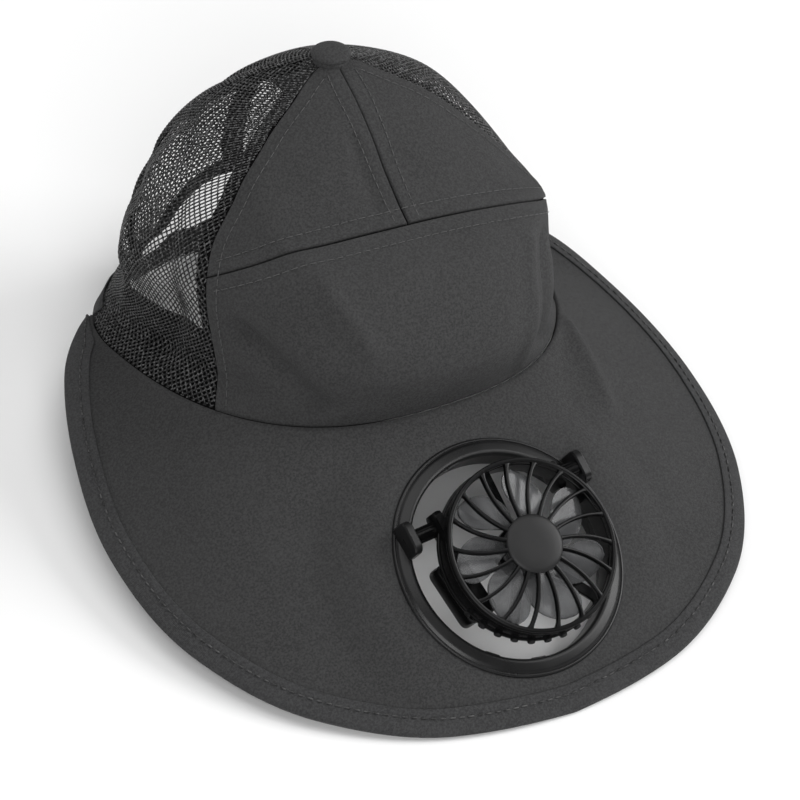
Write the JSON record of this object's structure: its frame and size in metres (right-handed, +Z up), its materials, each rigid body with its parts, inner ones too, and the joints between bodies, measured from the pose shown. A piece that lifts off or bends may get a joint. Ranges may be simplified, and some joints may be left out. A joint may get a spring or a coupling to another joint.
{
  "type": "fan cap",
  "caption": "Charcoal cap with a wide sloping bound brim, knit net sides and back, and a tilting round fan in a plastic ring set into the brim's front.",
  "frame": {"origin": "On the surface that the cap rests on, under the middle of its bounding box.", "axes": "+Z up, -Y to the front of the brim, +X to the wearer's left."},
  "size_m": [0.2378, 0.2615, 0.1394],
  "materials": {
    "cloth": "charcoal plain weave, matt",
    "net": "dark open knit net, matt",
    "sweatband": "soft charcoal band, matt",
    "strap": "dark strap, matt",
    "binding": "dark folded tape, matt",
    "ring": "dark grey moulded plastic, satin",
    "fan": "dark grey moulded plastic, satin",
    "impeller": "cloudy translucent plastic, semi-gloss"
  },
  "bodies": {
    "cap": {"front_panel": "cloth", "upper_panel_left": "cloth", "upper_panel_right": "cloth", "side_net_left": "net", "side_net_right": "net", "back_net_left": "net", "back_net_right": "net", "sweatband": "sweatband", "size_strap_left": "strap", "size_strap_right": "strap", "button": "cloth", "brim": "cloth", "brim_binding": "binding", "mount_ring": "ring", "retaining_ring": "ring"},
    "fan": {"fan_housing": "fan", "grille": "fan", "control_box": "fan", "power_button": "fan"},
    "impeller": {"impeller": "impeller"}
  },
  "joints": [
    {"name": "fan_tilt", "type": "hinge", "parent": "cap", "child": "fan", "pos_m": [-0.00044, -0.06645, 0.04183], "axis": [0.9968, 0.072, 0.0354], "range_deg": [-35, 12]},
    {"name": "impeller_spin", "type": "hinge", "parent": "fan", "child": "impeller", "pos_m": [0.00111, -0.08321, 0.03218], "axis": [0.0052, -0.4982, 0.867], "continuous": true}
  ]
}
